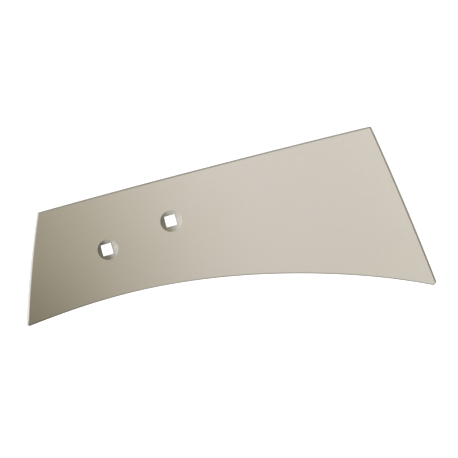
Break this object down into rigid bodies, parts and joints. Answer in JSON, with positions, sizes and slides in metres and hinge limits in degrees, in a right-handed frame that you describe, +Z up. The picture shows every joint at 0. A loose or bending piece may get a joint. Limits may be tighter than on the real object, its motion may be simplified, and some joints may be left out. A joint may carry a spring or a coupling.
{
  "type": "plough shin",
  "caption": "Curved steel plate with a straight rear edge, a concave leading edge and square countersunk bolt holes; the wearing front strip of a plough mouldboard.",
  "frame": {"origin": "centre of the plate's footprint, on the floor it lies on", "axes": "+X along the plate towards the wide end, square to the straight lines of its curve; +Y towards the straight rear edge; +Z up, out of the concave working face"},
  "size_m": [0.444, 0.2522, 0.0735],
  "materials": {
    "shin_steel": "satin ground steel under a clear protective lacquer"
  },
  "bodies": {
    "root": {"shin_plate": "shin_steel"}
  },
  "joints": []
}
